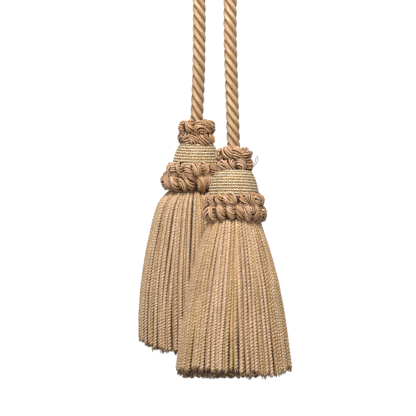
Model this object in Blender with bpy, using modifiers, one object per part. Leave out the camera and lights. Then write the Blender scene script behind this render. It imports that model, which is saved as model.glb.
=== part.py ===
"""Chair tassel: one twisted cord doubled over into a hanging loop, with a tassel on each end.

Metres, +Z up. The origin is at the inside of the loop's crown, where a chair's finial holds
the cord. The right tassel hangs in front (towards -Y) and a little lower than the left one.
Each tassel has its own empty at the top of its upper ruff, and depths are measured down the
tassel's axis from there.
"""

import math
import random

import bmesh
import bpy
import numpy as np
from mathutils import Vector

CLEARANCE = 0.0003  # between neighbouring pieces

# Cord
CORD_RADIUS = 0.0040
CORD_PLIES = 4
CORD_LEAD = 0.0245  # length of cord in which a ply goes once round, turning to the left
CORD_STEPS_PER_LEAD = 12
PLY_GROOVE = 0.66  # radius of the groove between two plies, as a share of the cord's
PLY_SHOULDER = math.radians(17)  # angle from a ply's crown to its shoulder

# Route of the cord's centre line, from inside the left tassel over the loop to the right one
CORD_ROUTE = (
    (-0.0109, 0.0208, -0.1064),
    (-0.0109, 0.0204, -0.0991),
    (-0.0108, 0.0200, -0.0917),
    (-0.0103, 0.0195, -0.0805),
    (-0.0096, 0.0186, -0.0630),
    (-0.0093, 0.0178, -0.0450),
    (-0.0092, 0.0171, -0.0280),
    (-0.0093, 0.0167, -0.0153),
    (-0.0086, 0.0154, -0.0079),
    (-0.0066, 0.0118, -0.0017),
    (-0.0036, 0.0064, 0.0025),
    (0.0000, 0.0000, 0.0040),
    (0.0036, -0.0064, 0.0025),
    (0.0066, -0.0118, -0.0017),
    (0.0086, -0.0154, -0.0079),
    (0.0093, -0.0167, -0.0153),
    (0.0092, -0.0172, -0.0300),
    (0.0094, -0.0180, -0.0500),
    (0.0101, -0.0188, -0.0720),
    (0.0108, -0.0197, -0.0950),
    (0.0112, -0.0203, -0.1088),
    (0.0113, -0.0207, -0.1162),
    (0.0114, -0.0211, -0.1235),
)

# Tassels: the top of each one's axis, its lean about X away from the other, the foot of its
# head, the two rows of its lower ruff as (centre radius, centre depth, tube radius), the
# flare at its skirt's top, its skirt from root to end as (depth, radius at the middle of the
# outer locks), the direction of the side that is cut short, and how much shorter it is
LEAN = math.radians(3)
TASSELS = {
    "left": {
        "top": Vector((-0.0109, 0.0200, -0.0917)),
        "lean": LEAN,
        "seed": 11,
        "head_base": 0.0335,
        "lower_rows": ((0.0152, 0.0291, 0.0041), (0.0174, 0.0371, 0.0046)),
        "backing_waist": 0.0405,
        "backing_base": 0.0436,
        "flare": 0.0036,
        "skirt": (
            (0.0405, 0.0140),
            (0.0475, 0.0216),
            (0.0570, 0.0257),
            (0.0830, 0.0312),
            (0.1010, 0.0337),
            (0.1160, 0.0348),
            (0.1411, 0.0348),
        ),
        "short_side": math.pi,
        "shortness": 0.0080,
    },
    "right": {
        "top": Vector((0.0114, -0.0203, -0.1088)),
        "lean": -LEAN,
        "seed": 23,
        "head_base": 0.0360,
        "lower_rows": ((0.0142, 0.0315, 0.0040), (0.0154, 0.0392, 0.0045)),
        "backing_waist": 0.0440,
        "backing_base": 0.0456,
        "flare": 0.0009,
        "skirt": (
            (0.0438, 0.0140),
            (0.0600, 0.0209),
            (0.0790, 0.0260),
            (0.1090, 0.0310),
            (0.1366, 0.0345),
        ),
        "short_side": 0.0,
        "shortness": 0.0050,
    },
}

# Upper ruff, a ring of looped yarn round the end of the cord, with rows as in the lower one
UPPER_ROWS = ((0.0075, 0.0038, 0.0041), (0.0080, 0.0110, 0.0039))
UPPER_RUFF_BASE = 0.0150
UPPER_KNOBS = 9
CORD_BORE = CORD_RADIUS + CLEARANCE

# Head, a turned mould wound with thread in raised bands
HEAD_TOP = UPPER_RUFF_BASE + CLEARANCE
HEAD_TOP_RADIUS = 0.0102
HEAD_RADIUS = 0.0146
HEAD_SHOULDER = 0.0290  # depth where the dome reaches its full radius
HEAD_BANDS = 8
BAND_RELIEF = 0.0003
HEAD_STEPS = 28

# Lower ruff, a ring of looped yarn where the skirt joins the head
LOWER_KNOBS = 15
HEAD_BORE = HEAD_RADIUS + CLEARANCE

# Both ruffs
ROW_TURNS = (-10, 40, 90)  # points round the outside of the upper row, degrees above level
CREASE_TURN = -60  # the one point between the rows
STEPS_PER_KNOB = 4
SMALLEST_KNOB = 0.88
KNOB_CREASE = 0.80  # depth of the creases between knobs, as a share of the tube's radius
KNOB_FACING = math.radians(10)  # how far above level the creases are deepest
KNOB_SLANT = 0.25  # how far a knob leans round the ring between the top and foot of its row

# Skirt, cut yarn in rings of locks that hang from a turned backing
BACKING_STEPS = 32
RAGGED_END = 0.0035
RING_LOCKS = (64, 44, 28, 14)
RING_SHARE = (1.00, 0.77, 0.53, 0.30)  # each ring's radius, as a share of the skirt's
LOCK_FILL = 0.80  # a lock's width, as a share of the room it has round its ring
LOCK_DEPTH = 0.62  # its depth, as a share of its width
LOCK_MIDDLES = (0.0475, 0.0570, 0.0830)
LOCK_SWAY = math.radians(2.5)
SKIRT_GAP = 0.0026  # left between the middles of the two skirts' nearest locks
PRESS_SHARPNESS = 10  # how sharply a skirt flattens against the other

# Colour and roughness of each material
FINISHES = {
    "cord": ((0.62, 0.40, 0.20), 0.55),
    "ruff": ((0.47, 0.30, 0.15), 0.75),
    "head": ((0.75, 0.62, 0.38), 0.60),
    "skirt": ((0.50, 0.35, 0.19), 0.65),
}


def new_collection(name):
    collection = bpy.data.collections.new(name)
    bpy.context.scene.collection.children.link(collection)
    return collection


def make_material(name, colour, roughness):
    material = bpy.data.materials.new(name)
    material.use_nodes = True
    shader = material.node_tree.nodes["Principled BSDF"]
    shader.inputs["Base Color"].default_value = (*colour, 1)
    shader.inputs["Roughness"].default_value = roughness
    shader.inputs["Metallic"].default_value = 0
    return material


def add_part(name, data, slot, parent=None):
    """A named object in the part's collection, with its slot's material."""
    obj = bpy.data.objects.new(name, data)
    parts.objects.link(obj)
    obj.data.materials.append(materials[slot])
    obj.parent = parent
    return obj


def add_helper(name, data, parent=None):
    obj = bpy.data.objects.new(name, data)
    helpers.objects.link(obj)
    obj.parent = parent
    obj.hide_render = True
    obj.display_type = "WIRE"
    return obj


def smooth_points(route, step):
    """Points an equal step apart on a smooth curve through the route's points."""
    route = [Vector(point) for point in route]
    ends = [2 * route[0] - route[1], *route, 2 * route[-1] - route[-2]]
    dense = []
    for before, start, end, after in zip(ends, ends[1:], ends[2:], ends[3:]):
        leaving, arriving = (end - before) / 2, (after - start) / 2
        for t in np.linspace(0, 1, 24, endpoint=False):
            dense.append(
                start * (2 * t**3 - 3 * t**2 + 1)
                + leaving * (t**3 - 2 * t**2 + t)
                + end * (3 * t**2 - 2 * t**3)
                + arriving * (t**3 - t**2)
            )
    dense = np.array([*dense, route[-1]])
    travelled = np.concatenate([[0], np.linalg.norm(np.diff(dense, axis=0), axis=1).cumsum()])
    stops = np.linspace(0, travelled[-1], round(travelled[-1] / step) + 1)
    return [Vector(point) for point in zip(*(np.interp(stops, travelled, axis) for axis in dense.T))]


def poly_curve(name, points, cyclic=False):
    curve = bpy.data.curves.new(name, "CURVE")
    curve.dimensions = "3D"
    spline = curve.splines.new("POLY")
    spline.points.add(len(points) - 1)
    for target, point in zip(spline.points, points):
        target.co = (*point, 1)
    spline.use_cyclic_u = cyclic
    return curve


def cord_section():
    """Outline of the plies laid together, run clockwise: two shoulders and a groove for each."""
    points = []
    for ply in range(CORD_PLIES):
        crown = -2 * math.pi * ply / CORD_PLIES
        for turn, radius in (
            (PLY_SHOULDER, CORD_RADIUS),
            (-PLY_SHOULDER, CORD_RADIUS),
            (-math.pi / CORD_PLIES, CORD_RADIUS * PLY_GROOVE),
        ):
            points.append((radius * math.cos(crown + turn), radius * math.sin(crown + turn), 0))
    return points


def make_cord():
    """The twisted cord: its lobed section swept along the route, turning once in each lead."""
    points = smooth_points(CORD_ROUTE, CORD_LEAD / CORD_STEPS_PER_LEAD)
    curve = poly_curve("cord", points)
    curve.twist_mode = "MINIMUM"
    for index, point in enumerate(curve.splines[0].points):
        point.tilt = -2 * math.pi * index / CORD_STEPS_PER_LEAD
    section = poly_curve("cord_section", cord_section(), cyclic=True)
    curve.bevel_mode = "OBJECT"
    curve.bevel_object = add_helper("cord_section", section)
    curve.use_fill_caps = True
    add_part("cord", curve, "cord")


def make_ruff(name, rows, bore, knobs, tassel, parent):
    """A ring of looped yarn: a torus laid out as two rows of knobs, one above the other."""
    draw = random.Random(tassel["seed"] + knobs)
    sizes = [[draw.uniform(SMALLEST_KNOB, 1) for _ in range(knobs)] for _ in rows]
    upper = [(0, math.radians(turn)) for turn in ROW_TURNS]
    lower = [(1, -turn) for _, turn in reversed(upper)]
    section = [(0, math.radians(CREASE_TURN)), *upper, (0, None), (1, None), *lower]
    around = knobs * STEPS_PER_KNOB
    bpy.ops.mesh.primitive_torus_add(major_segments=around, minor_segments=len(section))
    ring = bpy.context.object
    mesh = ring.data
    bpy.data.objects.remove(ring)
    for index, vertex in enumerate(mesh.vertices):
        angle = 2 * math.pi * (index // len(section)) / around
        row, turn = section[index % len(section)]
        centre, depth, tube = rows[row]
        radius, height = bore, -depth
        if turn is not None:
            place = knobs * angle / (2 * math.pi) + row / 2 + KNOB_SLANT * turn / math.pi
            crease = KNOB_CREASE * max(0, math.cos(turn - KNOB_FACING))
            crease *= 1 - abs(math.sin(math.pi * place))
            bulge = tube * sizes[row][math.floor(place) % knobs] * (1 - crease)
            radius = max(bore, centre + bulge * math.cos(turn))
            height = bulge * math.sin(turn) - depth
        vertex.co = (radius * math.cos(angle), radius * math.sin(angle), height)
    mesh.shade_smooth()
    mesh.set_sharp_from_angle(angle=math.radians(60))
    add_part(name, mesh, "ruff", parent)


def turned(name, profile, steps, slot, parent):
    """A profile of (radius, depth) points, listed down the outer side and closed on the axis."""
    outline = [(0, profile[0][1]), *profile, (0, profile[-1][1])]
    points = [(radius, 0, -depth) for radius, depth in outline]
    mesh = bpy.data.meshes.new(name)
    mesh.from_pydata(points, [(i, i + 1) for i in range(len(points) - 1)], [])
    obj = add_part(name, mesh, slot, parent)
    screw = obj.modifiers.new("Turn", "SCREW")
    screw.steps = screw.render_steps = steps
    screw.use_merge_vertices = True
    screw.merge_threshold = 1e-5
    screw.use_smooth_shade = False
    return obj


def head_radius(depth):
    """Radius of the dome, which swells quickly below its top edge and is upright at its base."""
    fall = min(1, (depth - HEAD_TOP) / (HEAD_SHOULDER - HEAD_TOP))
    return HEAD_TOP_RADIUS + (HEAD_RADIUS - HEAD_TOP_RADIUS) * math.sin(math.pi / 2 * fall) ** 0.95


def make_head(name, tassel, parent):
    """The wound mould: a dome with one raised band for each pair of thread rows."""
    profile = [(HEAD_TOP_RADIUS - BAND_RELIEF, HEAD_TOP)]
    pitch = (HEAD_SHOULDER - HEAD_TOP) / HEAD_BANDS
    for band in range(HEAD_BANDS):
        crown = HEAD_TOP + (band + 0.5) * pitch
        groove = HEAD_TOP + (band + 1) * pitch
        profile.append((head_radius(crown), crown))
        profile.append((head_radius(groove) - BAND_RELIEF, groove))
    profile.append((HEAD_RADIUS - BAND_RELIEF, tassel["head_base"]))
    turned(name, profile, HEAD_STEPS, "head", parent)


def skirt_radius(tassel, depth):
    depths, radii = zip(*tassel["skirt"])
    return float(np.interp(depth, depths, radii))


def pressed_radius(side, depth, angle):
    """The skirt's radius at an angle, flattened where it meets the other tassel's skirt."""
    tassel, other = TASSELS[side], TASSELS["right" if side == "left" else "left"]
    own = skirt_radius(tassel, depth)
    apart = other["top"] - tassel["top"]
    other_depth = depth + apart.z / math.cos(LEAN)
    if other_depth < other["backing_base"]:
        return own
    spread = (depth + other_depth) * math.sin(LEAN)
    across = Vector((apart.x, apart.y + math.copysign(spread, apart.y)))
    room = (across.length - SKIRT_GAP) * own / (own + skirt_radius(other, other_depth))
    facing = math.cos(angle - math.atan2(across.y, across.x))
    if facing <= 0:
        return own
    wall = room / facing
    return (own**-PRESS_SHARPNESS + wall**-PRESS_SHARPNESS) ** (-1 / PRESS_SHARPNESS)


def loft(bm, rings):
    """A closed tube through rings of points, with both ends filled."""
    rows = [[bm.verts.new(point) for point in ring] for ring in rings]
    for upper, lower in zip(rows, rows[1:]):
        for i in range(len(upper)):
            j = (i + 1) % len(upper)
            bm.faces.new((upper[i], upper[j], lower[j], lower[i]))
    bm.faces.new(rows[0][::-1])
    bm.faces.new(rows[-1])


def lock_ring(side, depth, angle, share, locks):
    """Three corners of a lock's section: two towards the axis and one outwards."""
    radius = share * pressed_radius(side, depth, angle)
    half = LOCK_FILL * math.pi / locks
    thick = LOCK_DEPTH * LOCK_FILL * 2 * math.pi * radius / locks
    corners = ((radius - thick / 2, half), (radius - thick / 2, -half), (radius + thick / 2, 0))
    return [(r * math.cos(angle + turn), r * math.sin(angle + turn), -depth) for r, turn in corners]


def make_locks(side, parent):
    """All the locks of a skirt as one helper mesh, ring by ring."""
    tassel = TASSELS[side]
    draw = random.Random(tassel["seed"])
    root, hem = tassel["skirt"][0][0], tassel["skirt"][-1][0]
    bm = bmesh.new()
    for share, locks in zip(RING_SHARE, RING_LOCKS):
        start, drift = draw.uniform(0, math.pi), draw.uniform(0, math.pi)
        for lock in range(locks):
            base = start + 2 * math.pi * lock / locks
            short = tassel["shortness"] * max(0, math.cos(base - tassel["short_side"])) ** 4
            end = hem - short - draw.uniform(0, RAGGED_END)
            rings = []
            for depth in (root, *LOCK_MIDDLES, end):
                fall = (depth - root) / (hem - root)
                angle = base + LOCK_SWAY * fall * math.sin(3 * base + drift)
                rings.append(lock_ring(side, depth, angle, share, locks))
            loft(bm, rings)
    bmesh.ops.recalc_face_normals(bm, faces=bm.faces)
    mesh = bpy.data.meshes.new(f"{side}_locks")
    bm.to_mesh(mesh)
    bm.free()
    return add_helper(f"{side}_locks", mesh, parent)


def make_skirt(side, parent):
    """The skirt: a turned backing inside the lower ruff, with every lock fused into it."""
    tassel = TASSELS[side]
    profile = (
        (HEAD_RADIUS, tassel["head_base"] + CLEARANCE),
        (HEAD_RADIUS, tassel["backing_waist"]),
        (HEAD_RADIUS + tassel["flare"], tassel["backing_base"]),
    )
    skirt = turned(f"{side}_skirt", profile, BACKING_STEPS, "skirt", parent)
    join = skirt.modifiers.new("Locks", "BOOLEAN")
    join.operation = "UNION"
    join.solver = "EXACT"
    join.object = make_locks(side, parent)


def make_tassel(side):
    tassel = TASSELS[side]
    top = bpy.data.objects.new(f"{side}_tassel", None)
    parts.objects.link(top)
    top.empty_display_size = UPPER_RUFF_BASE
    top.location = tassel["top"]
    top.rotation_euler.x = tassel["lean"]
    make_ruff(f"{side}_upper_ruff", UPPER_ROWS, CORD_BORE, UPPER_KNOBS, tassel, top)
    make_head(f"{side}_head", tassel, top)
    make_ruff(f"{side}_lower_ruff", tassel["lower_rows"], HEAD_BORE, LOWER_KNOBS, tassel, top)
    make_skirt(side, top)


for old in list(bpy.data.objects):
    bpy.data.objects.remove(old)
parts = new_collection("chair_tassel")
helpers = new_collection("helpers")
materials = {slot: make_material(slot, *finish) for slot, finish in FINISHES.items()}
make_cord()
for side in TASSELS:
    make_tassel(side)
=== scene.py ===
"""A pair of chair tassels on one doubled cord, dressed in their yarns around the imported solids."""

import random
from math import acos, cos, pi, radians, sin, sqrt

import bpy
from mathutils import Matrix, Vector, noise


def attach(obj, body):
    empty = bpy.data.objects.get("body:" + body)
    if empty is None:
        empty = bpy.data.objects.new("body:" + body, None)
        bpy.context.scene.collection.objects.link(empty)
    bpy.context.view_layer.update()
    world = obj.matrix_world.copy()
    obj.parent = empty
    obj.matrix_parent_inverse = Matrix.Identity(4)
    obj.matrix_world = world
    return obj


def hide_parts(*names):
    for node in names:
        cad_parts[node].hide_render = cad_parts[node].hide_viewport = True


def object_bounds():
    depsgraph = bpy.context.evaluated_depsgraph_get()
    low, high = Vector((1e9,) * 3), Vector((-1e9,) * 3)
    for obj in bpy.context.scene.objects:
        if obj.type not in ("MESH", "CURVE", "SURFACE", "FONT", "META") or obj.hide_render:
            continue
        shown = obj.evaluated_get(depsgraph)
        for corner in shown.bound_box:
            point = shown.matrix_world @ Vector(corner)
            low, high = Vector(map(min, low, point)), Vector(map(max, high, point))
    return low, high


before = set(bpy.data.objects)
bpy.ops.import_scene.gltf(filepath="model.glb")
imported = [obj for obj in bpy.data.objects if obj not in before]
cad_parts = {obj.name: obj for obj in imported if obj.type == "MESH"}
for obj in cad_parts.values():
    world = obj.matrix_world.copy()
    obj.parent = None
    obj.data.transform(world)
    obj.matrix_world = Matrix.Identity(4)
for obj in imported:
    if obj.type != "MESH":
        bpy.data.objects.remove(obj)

cad_box = [list(corner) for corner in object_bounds()]
lowest, highest = (Vector(corner) for corner in cad_box)
middle = (lowest + highest) / 2


# ---------------------------------------------------------------------------
# The studio. A broad pale floor lies well below the hanging tassels, and the
# room round them is white. A soft lamp stands high in front, a weak one fills
# the left, and one behind keeps the back from going flat.

FLOOR_DROP = 0.35
FLOOR_SIZE = 7.6
FLOOR_SHADE = 0.74
FLOOR_DIM_REACH = 0.8
FLOOR_GLOW = 0.8
ROOM_LIGHT = 0.23
ROOM_SEEN = 1.05
LAMPS = (  # name, place from the middle of the tassels, size, watts, colour
    ("key lamp", (-0.05, -0.50, 0.62), 0.27, 9.2, (1.0, 0.98, 0.95)),
    ("fill lamp", (-0.90, -0.80, 0.30), 0.60, 0.4, (0.97, 0.98, 1.0)),
    ("back lamp", (-0.20, 0.80, 0.85), 0.50, 10.0, (1.0, 0.98, 0.96)),
)
CAMERA_DISTANCE = 1.6
VIEW_SIZE = 0.2496
VIEW_TOP = highest.z - 0.0275
VIEW_SHIFT = -0.0039
SENSOR = 36.0


def placed(tree, kind, inputs=(), **settings):
    """One node of a tree, its settings made first and its inputs linked or filled after."""
    node = tree.nodes.new(kind)
    for name, value in settings.items():
        setattr(node, name, value)
    for socket, value in dict(inputs).items():
        if isinstance(value, bpy.types.NodeSocket):
            tree.links.new(value, node.inputs[socket])
        else:
            node.inputs[socket].default_value = value
    return node


def make_floor_material():
    """Pale and matt, and glowing farther out, where the floor meets the white room."""
    material = bpy.data.materials.new("pale floor")
    material.use_nodes = True
    tree = material.node_tree
    shader = tree.nodes["Principled BSDF"]
    shader.inputs["Base Color"].default_value = (FLOOR_SHADE, FLOOR_SHADE, FLOOR_SHADE, 1)
    shader.inputs["Roughness"].default_value = 0.9
    shader.inputs["Emission Color"].default_value = (1, 1, 1, 1)
    place = placed(tree, "ShaderNodeTexCoord").outputs["Object"]
    reach = placed(tree, "ShaderNodeVectorMath", {0: place}, operation="LENGTH")
    glow = placed(
        tree,
        "ShaderNodeMapRange",
        {
            "Value": reach.outputs["Value"],
            "From Min": FLOOR_DIM_REACH,
            "From Max": FLOOR_SIZE / 2,
            "To Max": FLOOR_GLOW,
        },
        interpolation_type="SMOOTHSTEP",
    )
    tree.links.new(glow.outputs["Result"], shader.inputs["Emission Strength"])
    return material


floor_half = FLOOR_SIZE / 2
floor_z = lowest.z - FLOOR_DROP
floor_mesh = bpy.data.meshes.new("floor")
floor_mesh.from_pydata(
    [
        (-floor_half, -floor_half, floor_z),
        (floor_half, -floor_half, floor_z),
        (floor_half, floor_half, floor_z),
        (-floor_half, floor_half, floor_z),
    ],
    [],
    [(0, 1, 2, 3)],
)
floor_mesh.materials.append(make_floor_material())
floor = bpy.data.objects.new("floor", floor_mesh)
bpy.context.scene.collection.objects.link(floor)

world = bpy.data.worlds.new("white studio")
bpy.context.scene.world = world
world.use_nodes = True
room = world.node_tree
seen = placed(room, "ShaderNodeLightPath").outputs["Is Camera Ray"]
strength = placed(
    room, "ShaderNodeMapRange", {"Value": seen, "To Min": ROOM_LIGHT, "To Max": ROOM_SEEN}
)
room.nodes["Background"].inputs["Color"].default_value = (1, 1, 1, 1)
room.links.new(strength.outputs["Result"], room.nodes["Background"].inputs["Strength"])


def add_lamp(name, place, size, watts, colour):
    """A square soft lamp that faces the middle of the tassels."""
    lamp = bpy.data.lights.new(name, "AREA")
    lamp.size = size
    lamp.energy = watts
    lamp.color = colour
    holder = bpy.data.objects.new(name, lamp)
    bpy.context.scene.collection.objects.link(holder)
    holder.location = middle + Vector(place)
    holder.rotation_euler = (-Vector(place)).to_track_quat("-Z", "Y").to_euler()


for lamp_row in LAMPS:
    add_lamp(*lamp_row)

bpy.context.scene.view_settings.view_transform = "Standard"
# The twist of the yarns is fine, and a careful noise filter would smear it.
bpy.context.scene.cycles.denoising_prefilter = "FAST"

lens = bpy.data.cameras.new("front camera")
lens.sensor_width = SENSOR
lens.lens = SENSOR * CAMERA_DISTANCE / VIEW_SIZE
lens.clip_start = 0.01
camera = bpy.data.objects.new("front camera", lens)
bpy.context.scene.collection.objects.link(camera)
camera.location = (VIEW_SHIFT, -CAMERA_DISTANCE, VIEW_TOP - VIEW_SIZE / 2)
camera.rotation_euler = (radians(90), 0, 0)
bpy.context.scene.camera = camera


# ---------------------------------------------------------------------------
# The cord. One rope of four plies, each a bundle of long smooth yarns, laid
# left-handed. It is doubled over what it hangs from, and each of its ends
# runs down into a tassel's upper ruff, where it is sewn.

CORD_RADIUS = 0.0040
CORD_LEAD = 0.0245
CORD_PLIES = 4
CORD_YARNS = 44
CORD_ROUTE = (
    (-0.0109, 0.0208, -0.1064), (-0.0109, 0.0204, -0.0991), (-0.0108, 0.0200, -0.0917),
    (-0.0103, 0.0195, -0.0805), (-0.0096, 0.0186, -0.0630), (-0.0093, 0.0178, -0.0450),
    (-0.0092, 0.0171, -0.0280), (-0.0093, 0.0167, -0.0153), (-0.0086, 0.0154, -0.0079),
    (-0.0066, 0.0118, -0.0017), (-0.0036, 0.0064, 0.0025), (0.0, 0.0, 0.0040),
    (0.0036, -0.0064, 0.0025), (0.0066, -0.0118, -0.0017), (0.0086, -0.0154, -0.0079),
    (0.0093, -0.0167, -0.0153), (0.0092, -0.0172, -0.0300), (0.0094, -0.0180, -0.0500),
    (0.0101, -0.0188, -0.0720), (0.0108, -0.0197, -0.0950), (0.0112, -0.0203, -0.1088),
    (0.0113, -0.0207, -0.1162), (0.0114, -0.0211, -0.1235),
)

YARN_INPUTS = (
    ("Radius", "NodeSocketFloat"),
    ("Plies", "NodeSocketFloat"),
    ("Groove", "NodeSocketFloat"),
    ("Fibres", "NodeSocketFloat"),
    ("Fibre Height", "NodeSocketFloat"),
    ("Lay Length", "NodeSocketFloat"),
    ("Unevenness", "NodeSocketFloat"),
    ("Sides", "NodeSocketInt"),
    ("Step", "NodeSocketFloat"),
    ("End Taper", "NodeSocketFloat"),
    ("Bake Rows", "NodeSocketInt"),
    ("Seed", "NodeSocketInt"),
    ("Material", "NodeSocketMaterial"),
)
# A yarn has these values unless its own piece says otherwise.
PLAIN_YARN = {
    "Plies": 1.0,
    "Groove": 0.0,
    "Fibres": 1.0,
    "Fibre Height": 0.0,
    "Unevenness": 0.0,
    "Bake Rows": 1,
}
WOBBLE_PACE = 160.0  # of an uneven twist along its yarn, in radians a metre
WOBBLE_SPREAD = 50.0  # sets one yarn's wobble apart from the next one's
WELD = 1e-6
MAP_SIDE_MARGIN = 0.04  # round each yarn's strip of the flat map, as shares of the strip
MAP_END_MARGIN = 0.01


def maths(tree, operation, first, second=0.0, third=0.0):
    """One Math node, fed by numbers or by other nodes' outputs."""
    return placed(
        tree, "ShaderNodeMath", {0: first, 1: second, 2: third}, operation=operation
    ).outputs[0]


def mark_guides(tree, given):
    """The guides made smooth and cut into even steps, with each point's place on its yarn."""
    smooth = placed(
        tree, "GeometryNodeCurveSplineType", {"Curve": given["Guides"]}, spline_type="CATMULL_ROM"
    )
    rail = placed(
        tree,
        "GeometryNodeResampleCurve",
        {"Curve": smooth.outputs[0], "Length": given["Step"]},
        mode="LENGTH",
    )
    strand = placed(tree, "GeometryNodeCurveOfPoint").outputs["Curve Index"]
    chance = placed(
        tree, "FunctionNodeRandomValue", {"ID": strand, "Seed": given["Seed"]}, data_type="FLOAT"
    )
    marked = placed(tree, "GeometryNodeCaptureAttribute", {"Geometry": rail.outputs[0]})
    for kind, name, value in (
        ("FLOAT", "along", placed(tree, "GeometryNodeSplineParameter").outputs["Length"]),
        ("FLOAT", "whole", placed(tree, "GeometryNodeSplineLength").outputs["Length"]),
        ("FLOAT", "chance", chance.outputs[1]),
        ("INT", "strand", strand),
    ):
        marked.capture_items.new(kind, name)
        tree.links.new(value, marked.inputs[name])
    return marked.outputs


def twisted_guides(tree, given, marks):
    """The guides turned as they go, each at its own pace where the twist is uneven."""
    wobble = maths(tree, "MULTIPLY", marks["chance"], WOBBLE_SPREAD)
    wobble = maths(tree, "MULTIPLY_ADD", marks["along"], WOBBLE_PACE, wobble)
    wobble = maths(tree, "MULTIPLY", maths(tree, "SINE", wobble), 0.5)
    pace = maths(tree, "SUBTRACT", marks["chance"], 0.5)
    pace = maths(tree, "MULTIPLY_ADD", pace, given["Unevenness"], 1.0)
    twist = maths(tree, "DIVIDE", marks["along"], given["Lay Length"])
    twist = maths(tree, "MULTIPLY", twist, pace)
    twist = maths(tree, "MULTIPLY_ADD", wobble, given["Unevenness"], twist)
    twist = maths(tree, "MULTIPLY", maths(tree, "ADD", twist, marks["chance"]), 2 * pi)
    turned = placed(tree, "GeometryNodeSetCurveTilt", {"Curve": marks[0], "Tilt": twist})
    return turned.outputs[0]


def yarn_size(tree, given, marks):
    """A yarn's radius along its guide, rounded off to a point at both ends."""
    to_end = maths(tree, "SUBTRACT", marks["whole"], marks["along"])
    to_end = maths(tree, "MINIMUM", marks["along"], to_end)
    to_end = maths(tree, "DIVIDE", to_end, given["End Taper"])
    to_end = maths(tree, "SUBTRACT", 1.0, maths(tree, "MINIMUM", to_end, 1.0))
    taper = maths(tree, "SUBTRACT", 1.0, maths(tree, "MULTIPLY", to_end, to_end))
    thickness = placed(tree, "GeometryNodeInputRadius").outputs[0]
    size = maths(tree, "MULTIPLY", maths(tree, "SQRT", taper), thickness)
    return maths(tree, "MULTIPLY", size, given["Radius"])


def yarn_section(tree, given):
    """The outline that is swept: a lobe for each ply, with finer ribs for its fibres."""
    line = placed(
        tree,
        "GeometryNodeResampleCurve",
        {
            "Curve": placed(tree, "GeometryNodeCurvePrimitiveLine").outputs[0],
            "Count": maths(tree, "ADD", given["Sides"], 1.0),
        },
        mode="COUNT",
    )
    ring = placed(tree, "GeometryNodeCaptureAttribute", {"Geometry": line.outputs[0]})
    ring.capture_items.new("FLOAT", "around")
    share = placed(tree, "GeometryNodeSplineParameter").outputs["Factor"]
    tree.links.new(share, ring.inputs["around"])
    around = ring.outputs["around"]
    angle = maths(tree, "MULTIPLY", around, 2 * pi)

    bow = maths(tree, "SINE", maths(tree, "DIVIDE", pi, given["Plies"]))
    lobe = maths(tree, "PINGPONG", maths(tree, "MULTIPLY", around, given["Plies"]), 0.5)
    lobe = maths(tree, "DIVIDE", maths(tree, "MULTIPLY", lobe, 2 * pi), given["Plies"])
    flank = maths(tree, "POWER", maths(tree, "SINE", lobe), 2.0)
    flank = maths(tree, "SUBTRACT", maths(tree, "POWER", bow, 2.0), flank)
    flank = maths(tree, "SQRT", maths(tree, "MAXIMUM", flank, 0.0))
    lobe = maths(tree, "ADD", maths(tree, "COSINE", lobe), flank)
    lobe = maths(tree, "DIVIDE", lobe, maths(tree, "ADD", bow, 1.0))
    lobe = maths(tree, "MULTIPLY", maths(tree, "SUBTRACT", lobe, 1.0), given["Groove"])

    rib = maths(tree, "MULTIPLY", maths(tree, "MULTIPLY", around, given["Fibres"]), pi)
    rib = maths(tree, "SUBTRACT", maths(tree, "ABSOLUTE", maths(tree, "COSINE", rib)), 1.0)
    rib = maths(tree, "MULTIPLY", rib, given["Fibre Height"])
    reach = maths(tree, "ADD", maths(tree, "ADD", lobe, rib), 1.0)
    corner = placed(
        tree,
        "ShaderNodeCombineXYZ",
        {
            "X": maths(tree, "MULTIPLY", reach, maths(tree, "COSINE", angle)),
            "Y": maths(tree, "MULTIPLY", reach, maths(tree, "SINE", angle)),
        },
    )
    section = placed(
        tree,
        "GeometryNodeSetPosition",
        {"Geometry": ring.outputs[0], "Position": corner.outputs[0]},
    )
    return section.outputs[0], around


def corner_map(tree, geometry, name, kind, value):
    """Stores a value at each corner of the yarns' faces, under a name."""
    return placed(
        tree,
        "GeometryNodeStoreNamedAttribute",
        {"Geometry": geometry, "Name": name, "Value": value},
        data_type=kind,
        domain="CORNER",
    ).outputs[0]


def flat_place(tree, given, marks, around):
    """Where a spot lies on the flat map, on which each yarn has a strip of its own."""
    count = placed(
        tree, "GeometryNodeAttributeDomainSize", {"Geometry": given["Guides"]}, component="CURVE"
    ).outputs["Spline Count"]
    rows = given["Bake Rows"]
    columns = maths(tree, "CEIL", maths(tree, "DIVIDE", count, rows))
    column = maths(tree, "FLOOR", maths(tree, "DIVIDE", marks["strand"], rows))
    row = maths(tree, "MODULO", marks["strand"], rows)
    across = maths(tree, "MULTIPLY_ADD", around, 1 - 2 * MAP_SIDE_MARGIN, MAP_SIDE_MARGIN)
    upward = maths(tree, "DIVIDE", marks["along"], marks["whole"])
    upward = maths(tree, "MULTIPLY_ADD", upward, 1 - 2 * MAP_END_MARGIN, MAP_END_MARGIN)
    return placed(
        tree,
        "ShaderNodeCombineXYZ",
        {
            "X": maths(tree, "DIVIDE", maths(tree, "ADD", column, across), columns),
            "Y": maths(tree, "DIVIDE", maths(tree, "ADD", row, upward), rows),
        },
    ).outputs[0]


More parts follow.
